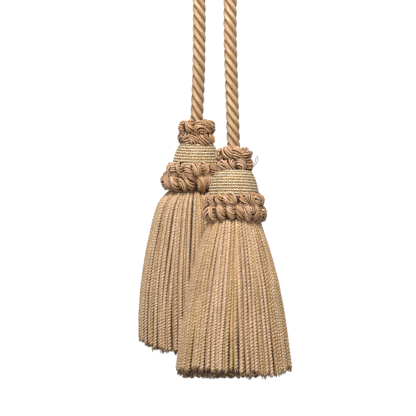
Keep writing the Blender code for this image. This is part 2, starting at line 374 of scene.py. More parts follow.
def make_yarn_tree():
    """Sweeps a grooved section along every guide curve and twists it as it goes."""
    tree = bpy.data.node_groups.new("laid yarn", "GeometryNodeTree")
    tree.interface.new_socket(name="Guides", in_out="INPUT", socket_type="NodeSocketGeometry")
    for name, kind in YARN_INPUTS:
        tree.interface.new_socket(name=name, in_out="INPUT", socket_type=kind)
    tree.interface.new_socket(name="Yarn", in_out="OUTPUT", socket_type="NodeSocketGeometry")
    given = placed(tree, "NodeGroupInput").outputs
    marks = mark_guides(tree, given)
    section, around = yarn_section(tree, given)
    swept = placed(
        tree,
        "GeometryNodeCurveToMesh",
        {
            "Curve": twisted_guides(tree, given, marks),
            "Profile Curve": section,
            "Scale": yarn_size(tree, given, marks),
        },
    )
    lay = placed(
        tree, "ShaderNodeCombineXYZ", {"X": marks["along"], "Y": around, "Z": marks["chance"]}
    )
    yarns = corner_map(tree, swept.outputs[0], "lay", "FLOAT_VECTOR", lay.outputs[0])
    flat = flat_place(tree, given, marks, around)
    yarns = corner_map(tree, yarns, "OFBake", "FLOAT2", flat)
    for kind, inputs in (
        ("GeometryNodeMergeByDistance", {"Distance": WELD}),
        ("GeometryNodeSetShadeSmooth", {}),
        ("GeometryNodeRealizeInstances", {}),
        ("GeometryNodeSetMaterial", {"Material": given["Material"]}),
    ):
        yarns = placed(tree, kind, {"Geometry": yarns, **inputs}).outputs[0]
    placed(tree, "NodeGroupOutput", {"Yarn": yarns})
    return tree


yarn_tree = make_yarn_tree()


def spin_yarn(name, guides, material, shape):
    """A plain mesh of yarns, one along each guide of points or of (point, thickness) pairs."""
    curve = bpy.data.curves.new(name + " guides", "CURVE")
    curve.dimensions = "3D"
    for guide in guides:
        spline = curve.splines.new("POLY")
        spline.points.add(len(guide) - 1)
        for spot, given in zip(spline.points, guide):
            place, thickness = given if len(given) == 2 else (given, 1.0)
            spot.co = (*place, 1.0)
            spot.radius = thickness
    holder = bpy.data.objects.new(name + " guides", curve)
    bpy.context.scene.collection.objects.link(holder)
    modifier = holder.modifiers.new("laid yarn", "NODES")
    modifier.node_group = yarn_tree
    values = {**PLAIN_YARN, **shape, "Material": material}
    for socket in yarn_tree.interface.items_tree:
        if socket.name in values:
            modifier[socket.identifier] = values[socket.name]
    graph = bpy.context.evaluated_depsgraph_get()
    mesh = bpy.data.meshes.new_from_object(
        holder.evaluated_get(graph), preserve_all_data_layers=True, depsgraph=graph
    )
    mesh.name = name
    bpy.data.objects.remove(holder)
    bpy.data.curves.remove(curve)
    piece = bpy.data.objects.new(name, mesh)
    bpy.context.scene.collection.objects.link(piece)
    return piece


# The yarn colour's inputs: its dyes, and the painted shade and painted glint laid over them.
DYE_AND_PAINTED_LIGHT_INPUTS = (
    ("Lay", "NodeSocketVector"),
    ("Light", "NodeSocketColor"),
    ("Deep", "NodeSocketColor"),
    ("Painted Glint", "NodeSocketColor"),
    ("Painted Shade", "NodeSocketColor"),
    ("Second Dye", "NodeSocketColor"),
    ("Second Share", "NodeSocketFloat"),
    ("Plies", "NodeSocketFloat"),
    ("Fibres", "NodeSocketFloat"),
    ("Crown Power", "NodeSocketFloat"),
    ("Mottle", "NodeSocketFloat"),
    ("Facing", "NodeSocketFloat"),
    ("Crease Foot", "NodeSocketFloat"),
    ("Crease Lip", "NodeSocketFloat"),
)
DYE_AND_PAINTED_LIGHT_OUTPUTS = (
    ("Colour", "NodeSocketColor"),
    ("Gloss", "NodeSocketFloat"),
    ("Height", "NodeSocketFloat"),
)
STREAK_PACE = 190.0  # of the fine streaks along a yarn, a metre
STREAK_SPREAD = 97.0  # sets one yarn's streaks apart from the next one's
STREAK_BAND = (0.34, 0.66)
STREAK_SHARE = 0.85
STREAK_HEIGHT = 0.35
PATCH_PACE = 55.0  # of the slow change along a yarn, a metre
PATCH_SPREAD = 71.0
SECOND_SPREAD = 17.3  # makes a fresh draw out of a yarn's own chance
# A painted highlight: the brightest streaks are painted towards the glint colour, by this share and
# this sharpness.
GLINT_SHARE = 0.35
GLINT_POWER = 4.0
DULL_ROUGHNESS = 0.62
GLOSSY_ROUGHNESS = 0.42
RELIEF_HEIGHT = 0.0002


def blended(tree, share, first, second, way="MIX"):
    """One colour blended into another."""
    return placed(
        tree,
        "ShaderNodeMix",
        {0: share, "A": first, "B": second},
        data_type="RGBA",
        blend_type=way,
        clamp_factor=True,
    ).outputs[2]


def add_streaks(group, given, spot):
    """Fine streaks from 0 to 1 that run with the fibres and close up round the yarn."""
    angle = maths(group, "MULTIPLY", spot["Y"], 2 * pi)
    wide = maths(group, "DIVIDE", given["Fibres"], 2 * pi)
    apart = maths(group, "MULTIPLY", spot["Z"], STREAK_SPREAD)
    place = placed(
        group,
        "ShaderNodeCombineXYZ",
        {
            "X": maths(group, "MULTIPLY", maths(group, "COSINE", angle), wide),
            "Y": maths(group, "MULTIPLY", maths(group, "SINE", angle), wide),
            "Z": maths(group, "MULTIPLY_ADD", spot["X"], STREAK_PACE, apart),
        },
    )
    streaks = placed(
        group,
        "ShaderNodeTexNoise",
        {"Vector": place.outputs[0], "Scale": 1.0, "Detail": 2.0, "Roughness": 0.55},
    )
    return placed(
        group,
        "ShaderNodeMapRange",
        {
            "Value": streaks.outputs["Fac"],
            "From Min": STREAK_BAND[0],
            "From Max": STREAK_BAND[1],
        },
    ).outputs["Result"]


def add_patches(group, spot):
    """Slow change along the yarn and from yarn to yarn, about 0."""
    place = placed(
        group,
        "ShaderNodeCombineXYZ",
        {
            "X": maths(group, "MULTIPLY", spot["X"], PATCH_PACE),
            "Y": maths(group, "MULTIPLY", spot["Z"], PATCH_SPREAD),
        },
    )
    patches = placed(
        group, "ShaderNodeTexNoise", {"Vector": place.outputs[0], "Scale": 1.0, "Detail": 1.0}
    )
    return maths(group, "SUBTRACT", maths(group, "ADD", patches.outputs["Fac"], spot["Z"]), 1.0)


def add_depth(group, given, spot):
    """From 0 in the grooves between plies, or deep in a bundle, to 1 on the crowns that face out;
    low values get painted shade, and it also raises the bump.
    """
    crown = maths(group, "MULTIPLY", maths(group, "MULTIPLY", spot["Y"], given["Plies"]), pi)
    crown = maths(group, "ABSOLUTE", maths(group, "COSINE", crown))
    crown = maths(group, "POWER", crown, given["Crown Power"])
    facing = placed(
        group,
        "ShaderNodeMapRange",
        {
            "Value": given["Facing"],
            "From Min": given["Crease Foot"],
            "From Max": given["Crease Lip"],
        },
        interpolation_type="SMOOTHSTEP",
    )
    return maths(group, "MULTIPLY", crown, facing.outputs["Result"])


def make_dye_and_painted_light_group():
    """The colour, gloss and height of a spun yarn, from where a spot lies on it; the colour carries
    a painted glint and painted shade over the dyes.
    """
    group = bpy.data.node_groups.new("spun fibre", "ShaderNodeTree")
    for way, sockets in (("INPUT", DYE_AND_PAINTED_LIGHT_INPUTS), ("OUTPUT", DYE_AND_PAINTED_LIGHT_OUTPUTS)):
        for name, kind in sockets:
            group.interface.new_socket(name=name, in_out=way, socket_type=kind)
    given = placed(group, "NodeGroupInput").outputs
    # X runs along the yarn, Y round it, and Z is its own chance.
    spot = placed(group, "ShaderNodeSeparateXYZ", {0: given["Lay"]}).outputs
    streaks = add_streaks(group, given, spot)
    depth = add_depth(group, given, spot)

    share = maths(group, "MULTIPLY", streaks, STREAK_SHARE)
    share = maths(group, "MULTIPLY_ADD", add_patches(group, spot), given["Mottle"], share)
    colour = blended(group, share, given["Deep"], given["Light"])
    draw = maths(group, "FRACT", maths(group, "MULTIPLY", spot["Z"], SECOND_SPREAD))
    second = maths(group, "LESS_THAN", draw, given["Second Share"])
    colour = blended(group, second, colour, given["Second Dye"], "MULTIPLY")
    # Painted light: a painted glint on the brightest streaks, then painted shade where the depth is
    # low.
    lit = maths(group, "MULTIPLY", maths(group, "POWER", streaks, GLINT_POWER), GLINT_SHARE)
    colour = blended(group, lit, colour, given["Painted Glint"])
    colour = blended(group, depth, given["Painted Shade"], colour)

    gloss = placed(
        group,
        "ShaderNodeMapRange",
        {"Value": streaks, "To Min": DULL_ROUGHNESS, "To Max": GLOSSY_ROUGHNESS},
    )
    height = maths(group, "MULTIPLY_ADD", streaks, STREAK_HEIGHT, depth)
    placed(
        group,
        "NodeGroupOutput",
        {"Colour": colour, "Gloss": gloss.outputs["Result"], "Height": height},
    )
    return group


dye_and_painted_light_group = make_dye_and_painted_light_group()


def srgb(red, green, blue):
    """A colour, of a dye or of painted shade or glint, named by its everyday colour numbers, 0 to
    255.
    """
    shares = (value / 255 for value in (red, green, blue))
    linear = (s / 12.92 if s <= 0.04045 else ((s + 0.055) / 1.055) ** 2.4 for s in shares)
    return (*linear, 1.0)


def make_yarn_material(
    name,
    light,
    deep,
    painted_glint,
    painted_shade,
    plies,
    fibres,
    second_dye=(1, 1, 1, 1),
    second_share=0.0,
    crown_power=0.6,
    mottle=0.5,
    crease=None,
    relief=0.5,
    specular=0.5,
):
    """Dyed fibres that catch the light, with a painted glint, and painted shade in the grooves
    between plies and in the creases where yarns lie bundled.
    """
    material = bpy.data.materials.new(name)
    material.use_nodes = True
    tree = material.node_tree
    shader = tree.nodes["Principled BSDF"]
    facing = 1.0
    if crease:
        facing = placed(tree, "ShaderNodeAttribute", attribute_name="facing").outputs["Fac"]
    crease_foot, crease_lip = crease or (0.0, 1.0)
    dye_and_painted_light = placed(
        tree,
        "ShaderNodeGroup",
        {
            "Lay": placed(tree, "ShaderNodeAttribute", attribute_name="lay").outputs["Vector"],
            "Facing": facing,
            "Light": light,
            "Deep": deep,
            "Painted Glint": painted_glint,
            "Painted Shade": painted_shade,
            "Second Dye": second_dye,
            "Second Share": second_share,
            "Plies": plies,
            "Fibres": fibres,
            "Crown Power": crown_power,
            "Mottle": mottle,
            "Crease Foot": crease_foot,
            "Crease Lip": crease_lip,
        },
        node_tree=dye_and_painted_light_group,
    )
    raised = placed(
        tree,
        "ShaderNodeBump",
        {"Height": dye_and_painted_light.outputs["Height"], "Strength": relief, "Distance": RELIEF_HEIGHT},
    )
    tree.links.new(dye_and_painted_light.outputs["Colour"], shader.inputs["Base Color"])
    tree.links.new(dye_and_painted_light.outputs["Gloss"], shader.inputs["Roughness"])
    tree.links.new(raised.outputs["Normal"], shader.inputs["Normal"])
    shader.inputs["Sheen Weight"].default_value = 0.15
    shader.inputs["Sheen Roughness"].default_value = 0.4
    shader.inputs["Specular IOR Level"].default_value = specular
    return material


# The cord's shade colour is painted shade over the flanks of each ply; the high crown power spreads
# it wide, so only a narrow crown stays light.
cord_material = make_yarn_material(
    "laid cord yarn",
    light=srgb(222, 186, 142),
    deep=srgb(166, 127, 85),
    painted_glint=srgb(255, 240, 210),
    painted_shade=srgb(146, 109, 70),
    plies=CORD_PLIES,
    fibres=CORD_YARNS,
    crown_power=2.1,
    relief=0.8,
    specular=0.6,
)
cord = spin_yarn(
    "laid_cord",
    [CORD_ROUTE],
    cord_material,
    {
        "Radius": CORD_RADIUS,
        "Plies": float(CORD_PLIES),
        "Groove": 0.70,
        "Fibres": float(CORD_YARNS),
        "Fibre Height": 0.035,
        "Lay Length": -CORD_LEAD,
        "Sides": 88,
        "Step": 0.0008,
        "End Taper": 0.0010,
        "Seed": 3,
    },
)


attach(cord, "root")
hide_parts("cord")


# ---------------------------------------------------------------------------
# The heads. Each is a turned wooden dome, wound from neck to waist with a
# cream twisted thread, and with a thinner gold thread laid in every furrow
# between its turns. Both threads are glued down at their ends.

LEAN = radians(3)
# Depths run down a tassel's own axis from its top. A row of a ruff is the radius
# of its ring, its depth and its knobs' radius, and a skirt is (depth, radius) pairs.
TASSELS = {
    "left": {
        "top": Vector((-0.0109, 0.0200, -0.0917)),
        "lean": LEAN,
        "seed": 11,
        "head_base": 0.0335,
        "lower_rows": ((0.0152, 0.0291, 0.0041), (0.0174, 0.0371, 0.0046)),
        "backing_base": 0.0436,
        "skirt": (
            (0.0405, 0.0140), (0.0475, 0.0216), (0.0570, 0.0257), (0.0830, 0.0312),
            (0.1010, 0.0337), (0.1160, 0.0348), (0.1411, 0.0348),
        ),
        "short_side": pi,
        "shortness": 0.0052,
        "lift": 0.0020,
    },
    "right": {
        "top": Vector((0.0114, -0.0203, -0.1088)),
        "lean": -LEAN,
        "seed": 23,
        "head_base": 0.0360,
        "lower_rows": ((0.0142, 0.0315, 0.0040), (0.0154, 0.0392, 0.0045)),
        "backing_base": 0.0456,
        "skirt": (
            (0.0428, 0.0150), (0.0600, 0.0209), (0.0790, 0.0260), (0.1090, 0.0310),
            (0.1366, 0.0345),
        ),
        "short_side": 0.0,
        "shortness": 0.0050,
        "lift": 0.0038,
    },
}
HEAD_TOP = 0.0146
WINDING_TOP = 0.0134
HEAD_SHOULDER = 0.0290
HEAD_TOP_RADIUS = 0.0104
HEAD_RADIUS = 0.0146
NECK_SLOPE = 1.2
DOME_FULLNESS = 0.80
MOULD_STEPS = 14
MOULD_SUNK = 0.00060
THREAD_PITCH = 0.00176
CREAM_RADIUS = 0.00056
CREAM_SUNK = 0.00012
GOLD_RADIUS = 0.00037
GOLD_SUNK = 0.00014
WINDING_STEPS = 36
WINDING_STRIDE = 0.00002


def hung(side, radius, angle, depth):
    """A place on a tassel, from its own axis, as a point of the whole part."""
    tassel = TASSELS[side]
    spot = Vector((radius * cos(angle), radius * sin(angle), -depth))
    return tassel["top"] + Matrix.Rotation(tassel["lean"], 3, "X") @ spot


def head_radius(depth):
    """Radius of the wound dome, which swells quickly below its neck."""
    if depth < HEAD_TOP:
        return HEAD_TOP_RADIUS - NECK_SLOPE * (HEAD_TOP - depth)
    fall = min(1, (depth - HEAD_TOP) / (HEAD_SHOULDER - HEAD_TOP))
    return HEAD_TOP_RADIUS + (HEAD_RADIUS - HEAD_TOP_RADIUS) * sin(pi / 2 * fall) ** DOME_FULLNESS


def winding_depths(side):
    """Depths down the dome that are one turn of the winding apart on its surface."""
    depths = [WINDING_TOP]
    depth = WINDING_TOP
    walked = 0.0
    while depth < TASSELS[side]["head_base"]:
        rise = head_radius(depth + WINDING_STRIDE) - head_radius(depth)
        walked += sqrt(rise * rise + WINDING_STRIDE * WINDING_STRIDE)
        depth += WINDING_STRIDE
        if walked >= THREAD_PITCH:
            depths.append(depth)
            walked = 0.0
    return depths


def winding_guide(side, shift, sunk):
    """One thread wound down the dome, shift turns behind the first."""
    depths = winding_depths(side)
    last_turn = len(depths) - 1.001
    guide = []
    for step in range((len(depths) - 1) * WINDING_STEPS):
        turn = min(step / WINDING_STEPS + shift, last_turn)
        row = int(turn)
        depth = depths[row] + (depths[row + 1] - depths[row]) * (turn - row)
        guide.append(hung(side, head_radius(depth) - sunk, 2 * pi * (turn - shift), depth))
    return guide


def turned_guide(side, profile):
    """A guide down a tassel's own axis for a solid body, from (radius, depth) pairs."""
    return [(hung(side, 0, 0, depth), radius) for radius, depth in profile]


def mould_guide(side):
    """The turned dome under the winding."""
    drop = TASSELS[side]["head_base"] - WINDING_TOP
    depths = [WINDING_TOP + drop * k / MOULD_STEPS for k in range(MOULD_STEPS + 1)]
    return turned_guide(side, [(head_radius(depth) - MOULD_SUNK, depth) for depth in depths])


# The windings' shade colours are painted shade in the grooves between their plies.
cream_material = make_yarn_material(
    "cream winding thread",
    light=srgb(240, 230, 208),
    deep=srgb(218, 201, 170),
    painted_glint=srgb(250, 246, 236),
    painted_shade=srgb(188, 162, 116),
    plies=2,
    fibres=10,
    crown_power=0.5,
)
gold_material = make_yarn_material(
    "gold winding thread",
    light=srgb(206, 160, 84),
    deep=srgb(160, 116, 48),
    painted_glint=srgb(240, 206, 138),
    painted_shade=srgb(112, 78, 28),
    plies=2,
    fibres=10,
    crown_power=0.7,
)
for side in TASSELS:
    mould = spin_yarn(
        f"{side}_mould",
        [mould_guide(side)],
        gold_material,
        {
            "Radius": 1.0,
            "Lay Length": 0.05,
            "Sides": 40,
            "Step": 0.0015,
            "End Taper": 0.0005,
            "Seed": 4,
        },
    )
    cream = spin_yarn(
        f"{side}_cream_winding",
        [winding_guide(side, 0.0, CREAM_SUNK)],
        cream_material,
        {
            "Radius": CREAM_RADIUS,
            "Plies": 2.0,
            "Groove": 0.35,
            "Lay Length": 0.0038,
            "Sides": 6,
            "Step": 0.0007,
            "End Taper": 0.0008,
            "Seed": 5,
        },
    )
    gold = spin_yarn(
        f"{side}_gold_winding",
        [winding_guide(side, 0.5, GOLD_SUNK)],
        gold_material,
        {
            "Radius": GOLD_RADIUS,
            "Plies": 2.0,
            "Groove": 0.30,
            "Lay Length": 0.0034,
            "Sides": 6,
            "Step": 0.0009,
            "End Taper": 0.0006,
            "Seed": 6,
        },
    )
    for piece in (mould, cream, gold):
        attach(piece, "root")
        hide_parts(f"{side}_head")


# ---------------------------------------------------------------------------
# The ruffs. Each is two rows of plump knobs sewn round the neck or the waist.
# A knob is smooth yarn wound on itself and pulled tight: nested curls where
# its end faces out, and a slanting bundle where its flank does.

UPPER_ROWS = ((0.0075, 0.0038, 0.0041), (0.0080, 0.0110, 0.0039))
UPPER_KNOBS = 9
UPPER_LAY = radians(46)
LOWER_KNOBS = 20
LOWER_LAY = radians(50)
ROW_SQUEEZE = 0.10
KNOB_SCATTER = 0.16
END_ON_SHARE = 0.35
END_ON_TILTS = (25, 48)
FLANK_ON_TILTS = (48, 84)
LAY_SPREAD = radians(38)
TURNED_SHARE = 0.4
KNOB_YARN = 0.00058
KNOB_LEAN = 0.20
KNOB_HEIGHT = 1.22
KNOB_FACE = 0.7
KNOB_REACH = (0.90, 1.10)
KNOB_WIDTH = (1.06, 1.30)
KNOB_SHIFT = 0.0007
KNOB_BACK = 0.45  # how far behind a knob's middle its yarn is kept, as a share of its reach
TURN_HIDDEN = -0.95  # a turn that would start past this cosine is left out
TURN_GAP = 0.15
TURN_SPACING = 1.95
TURN_SHUFFLE = 0.15
TURN_LIFT = (-0.00040, 0.00030)
TURN_THICKNESS = (0.85, 1.20)
TURN_WANDER = (0.03, 0.11)
TURN_WAVES = (0.9, 2.2)
TURN_STEP = 0.0012
SHORTEST_TURN = 0.0025
CORE_SHARE = 0.62
CORE_STEPS = 24
LOOSE_RADIUS = 0.00018
LOOSE_ROUTE = (
    (0.0216, -0.0203, -0.1204), (0.0234, -0.0207, -0.1198), (0.0246, -0.0210, -0.1184),
    (0.0254, -0.0211, -0.1164), (0.0256, -0.0211, -0.1145), (0.0251, -0.0210, -0.1137),
    (0.0245, -0.0209, -0.1149), (0.0241, -0.0207, -0.1170), (0.0230, -0.0205, -0.1188),
    (0.0216, -0.0203, -0.1194),
)

# The ruff yarn's shade colour is painted shade in the creases between the wound yarns, where their
# facing mark is low.
ruff_material = make_yarn_material(
    "smooth ruff yarn",
    light=srgb(227, 183, 147),
    deep=srgb(180, 137, 100),
    painted_glint=srgb(248, 224, 192),
    painted_shade=srgb(122, 88, 59),
    plies=1,
    fibres=14,
    second_dye=srgb(240, 232, 190),
    second_share=0.3,
    crown_power=0.0,
    mottle=1.2,
    crease=(0.48, 0.95),
    relief=0.3,
)
# The core is coloured very dark as painted shade, for it shows only in the gaps between the knobs.
# The loose thread uses the same material.
core_material = make_yarn_material(
    "ruff core in painted shade",
    light=srgb(104, 74, 48),
    deep=srgb(52, 34, 18),
    painted_glint=srgb(120, 88, 58),
    painted_shade=srgb(44, 28, 14),
    plies=1,
    fibres=26,
    crown_power=0.0,
    specular=0.15,
)


def mark_facing(piece, outward):
    """Marks each spot of a bundle's yarns from 0, facing into the bundle, to 1, facing out; the
    material paints shade where the mark is low.
    """
    marks = piece.data.attributes.new("facing", "FLOAT", "POINT")
    facing = [0.5 + 0.5 * spot.normal.dot(outward(spot.co)) for spot in piece.data.vertices]
    marks.data.foreach_set("value", facing)


def knob_guides(side, row, angle, knobs, pole, draw):
    """The yarn of one knob, as circles about its pole, kept where they face outwards."""
    centre, depth, tube = row
    reach = tube * draw.uniform(*KNOB_REACH) - KNOB_YARN
    half = pi * (centre + reach) / knobs * draw.uniform(*KNOB_WIDTH) - KNOB_YARN
    depth += draw.uniform(-KNOB_SHIFT, KNOB_SHIFT)
    outward = Vector((0, 0, 1))
    inward = (outward.dot(pole) * pole - outward).normalized()
    beside = pole.cross(inward)
    rise = outward.dot(pole)
    tilt = sqrt(max(1e-6, 1 - rise**2))
    spacing = TURN_SPACING * KNOB_YARN / reach
    guides = []
    for ring in range(int(pi / spacing)):
        away = (ring + 0.5 + draw.uniform(0.0, TURN_SHUFFLE)) * spacing
        limit = (rise * cos(away) + KNOB_BACK) / (tilt * sin(away))
        if limit <= TURN_HIDDEN:
            continue
        start = max(TURN_GAP, acos(min(1, max(-1, limit))))
        sweep = 2 * (pi - start)
        length = sweep * sin(away) * reach
        if length < SHORTEST_TURN:
            continue
        steps = int(length / TURN_STEP) + 3
        lift = draw.uniform(*TURN_LIFT)
        thick = draw.uniform(*TURN_THICKNESS)
        wander = draw.uniform(*TURN_WANDER)
        waves = draw.uniform(*TURN_WAVES)
        phase = draw.uniform(0, 2 * pi)
        guide = []
        for step in range(steps + 1):
            turn = start + sweep * step / steps
            off = away + wander * sin(waves * turn + phase)
            spot = pole * cos(off) + (inward * cos(turn) + beside * sin(turn)) * sin(off)
            radius = centre + (reach + lift) * spot.z
            aside = half * spot.x - KNOB_LEAN * reach * spot.y
            place = angle + aside / (centre + reach * KNOB_FACE)
            height = KNOB_HEIGHT * (reach + lift) * spot.y
            guide.append((hung(side, radius, place, depth - height), thick))
        guides.append(guide)
    return guides


def row_guides(side, row, knobs, start, lay, draw):
    """A row of knobs, each with its pole turned its own way about the usual lay."""
    guides = []
    for knob in range(knobs):
        angle = start + 2 * pi * (knob + draw.uniform(-KNOB_SCATTER, KNOB_SCATTER)) / knobs
        tilts = END_ON_TILTS if draw.random() < END_ON_SHARE else FLANK_ON_TILTS
        tilt = radians(draw.uniform(*tilts))
        azimuth = lay + draw.gauss(0, LAY_SPREAD) + (pi if draw.random() < TURNED_SHARE else 0)
        pole = Vector((sin(tilt) * cos(azimuth), sin(tilt) * sin(azimuth), cos(tilt)))
        guides += knob_guides(side, row, angle, knobs, pole, draw)
    return guides


def out_of_rows(side, rows):
    """Gives the way out of the nearer row's ring for any spot of a ruff."""
    tassel = TASSELS[side]
    upright = Matrix.Rotation(-tassel["lean"], 3, "X")

    def outward(place):
        spot = upright @ (place - tassel["top"])
        flat = Vector((spot.x, spot.y, 0))
        centre, depth, _ = min(rows, key=lambda row: abs(spot.z + row[1]))
        way = spot - flat.normalized() * centre - Vector((0, 0, -depth))
        return (upright.transposed() @ way).normalized()

    return outward


def band_profile(rows):
    """The band that a ruff's rows are sewn to, which fills the furrow between them."""
    (upper, upper_depth, upper_tube), (lower, lower_depth, lower_tube) = rows
    between = (upper + lower) / 2 + 0.3 * upper_tube
    return (
        (upper - 0.6 * upper_tube, upper_depth - 0.85 * upper_tube),
        (upper, upper_depth - 0.4 * upper_tube),
        (between, (upper_depth + lower_depth) / 2),
        (lower, lower_depth + 0.4 * lower_tube),
        (lower - 0.4 * lower_tube, lower_depth + 1.1 * lower_tube),
    )


def core_guide(side, row):
    """The ring inside a row of knobs, which runs on past its start so that it closes."""
    centre, depth, tube = row
    turns = (2 * pi * k / CORE_STEPS for k in range(CORE_STEPS + 2))
    return [(hung(side, centre, turn, depth), CORE_SHARE * tube) for turn in turns]


def add_ruff(side, name, rows, knobs, lay):
    """One ruff: its knobs of wound yarn, and the core that they are sewn to, dark with painted
    shade.
    """
    draw = random.Random(TASSELS[side]["seed"] + knobs)
    guides = []
    between = sum(depth for _, depth, _ in rows) / 2
    for number, (centre, depth, tube) in enumerate(rows):
        row = (centre, depth + ROW_SQUEEZE * (between - depth), tube)
        guides += row_guides(side, row, knobs, pi * number / knobs, lay, draw)
    yarns = spin_yarn(
        f"{side}_{name}_knobs",
        guides,
        ruff_material,
        {
            "Radius": KNOB_YARN,
            "Lay Length": 0.02,
            "Sides": 6,
            "Step": 0.0008,
            "End Taper": 0.0006,
            "Bake Rows": 12,
            "Seed": 7,
        },
    )
    core = spin_yarn(
        f"{side}_{name}_core",
        [core_guide(side, row) for row in rows] + [turned_guide(side, band_profile(rows))],
        core_material,
        {
            "Radius": 1.0,
            "Lay Length": 0.03,
            "Sides": 18,
            "Step": 0.0015,
            "End Taper": 0.0005,
            "Seed": 8,
        },
    )
    mark_facing(yarns, out_of_rows(side, rows))
    for piece in (yarns, core):
        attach(piece, "root")
        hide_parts(f"{side}_{name}")


for side, tassel in TASSELS.items():
    add_ruff(side, "upper_ruff", UPPER_ROWS, UPPER_KNOBS, UPPER_LAY)
    add_ruff(side, "lower_ruff", tassel["lower_rows"], LOWER_KNOBS, LOWER_LAY)

loose_thread = spin_yarn(
    "right_loose_thread",
    [LOOSE_ROUTE],
    core_material,
    {
        "Radius": LOOSE_RADIUS,
        "Lay Length": 0.004,
        "Sides": 5,
        "Step": 0.0006,
        "End Taper": 0.0003,
        "Seed": 10,
    },
)
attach(loose_thread, "root")
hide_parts("right_upper_ruff")


# ---------------------------------------------------------------------------
# The skirts. A thick bunch of two-ply yarns is bound on under the waist and
# hangs in rings to a ragged cut hem. Some of the outermost yarns work out
# between others, and the rings press flat where the two tassels meet.

SKIRT_YARN = 0.00146
YARN_LEAD = 0.0037
ROOT_THICKNESS = 0.80
OUTER_YARNS = 64
OUTER_FINENESS = (10, YARN_LEAD / 6)  # sides round a yarn, and the step along it
LANES = (False, False, False, True, False)  # True for a yarn that starts under its neighbours
LANE_SUNK = 0.0017
TOP_SUNK = 0.0003
SECOND_YARNS = 62
SECOND_SHARE = 0.964
SECOND_FINENESS = (6, YARN_LEAD / 4)
INNER_RINGS = ((0.89, 54), (0.79, 46), (0.62, 34), (0.42, 22), (0.20, 10))
INNER_FINENESS = (4, YARN_LEAD / 5)
INNER_START = 0.7  # share of the fall that the inner yarns leave to the bundle
BUNDLE_SHARE = 0.78
BUNDLE_SHORT = 0.014
BUNDLE_STEPS = 10
SKIRT_GAP = 0.0026
SKIRT_SEAT = 0.0006
PRESS_SHARPNESS = 10
ROOT_SCATTER = 0.10
HEM_SCATTER = 0.12
RAGGED_END = 0.0030
OUTER_SHORT = 0.0005
LIFT_SIDE = 1.2 * pi
LIFTED_SHARE = 0.9  # only rings wider than this share hang shorter there
GUIDE_STEPS = 13
SPREAD_BY = 0.7  # share of the fall by which a yarn has spread to its place at the hem
OUT_BY = 0.6  # share of the fall by which a sunk yarn has worked its way out
DRIFT = 0.0007
STRAY_SHARE = 0.09
STRAY_DRIFT = (0.0010, 0.0024)
SWAY = 0.0008
SWAY_PACE = 3.1
STAND_OFF = 0.0005
STAND_OFF_PACE = 2.3
END_FIBRES = 6
FIBRE_RADIUS = 0.00030
FIBRE_RING = 0.75
FIBRE_OFF = (0.2, 1.0)
FIBRE_SEAT = 0.0012
FIBRE_REACH = (0.0001, 0.0016)
FIBRE_FAN = (1.0, 1.7)
FIBRE_BOW = (-0.1, 0.3)

# The skirt yarn's shade colour is painted shade, in the ply grooves and on the yarns' sides that
# face into the skirt.
skirt_material = make_yarn_material(
    "two-ply skirt yarn",
    light=srgb(230, 196, 157),
    deep=srgb(188, 150, 112),
    painted_glint=srgb(248, 228, 200),
    painted_shade=srgb(114, 80, 50),
    plies=2,
    fibres=12,
    second_dye=srgb(246, 242, 214),
    second_share=0.30,
    crown_power=0.2,
    mottle=0.8,
    crease=(0.46, 0.88),
    relief=0.3,
)
# The inner yarns and the bundle are coloured darker than the outer yarns as painted shade, for they
# lie inside the skirt where shade falls.
inner_material = make_yarn_material(
    "inner yarn in painted shade",
    light=srgb(176, 138, 100),
    deep=srgb(128, 94, 62),
    painted_glint=srgb(206, 170, 128),
    painted_shade=srgb(72, 48, 28),
    plies=2,
    fibres=12,
    crown_power=1.0,
)


def skirt_radius(side, depth):
    """The skirt's radius at a depth, along a line through its table."""
    table = TASSELS[side]["skirt"]
    if depth <= table[0][0]:
        return table[0][1]
    for (above, small), (below, large) in zip(table, table[1:]):
        if depth <= below:
            return small + (large - small) * (depth - above) / (below - above)
    return table[-1][1]


def pressed_radius(side, depth, angle):
    """The skirt's radius at an angle, flattened where it meets the other skirt."""
    other_side = "right" if side == "left" else "left"
    tassel, other = TASSELS[side], TASSELS[other_side]
    own = skirt_radius(side, depth)
    apart = other["top"] - tassel["top"]
    other_depth = depth + apart.z / cos(LEAN)
    if other_depth < other["backing_base"]:
        return own
    spread = (depth + other_depth) * sin(LEAN)
    across = Vector((apart.x, apart.y + (spread if apart.y > 0 else -spread)))
    room = (across.length - SKIRT_GAP) * own / (own + skirt_radius(other_side, other_depth))
    facing = across.normalized().dot(Vector((cos(angle), sin(angle))))
    if facing <= 0:
        return own
    wall = room / facing
    return (own**-PRESS_SHARPNESS + wall**-PRESS_SHARPNESS) ** (-1 / PRESS_SHARPNESS)


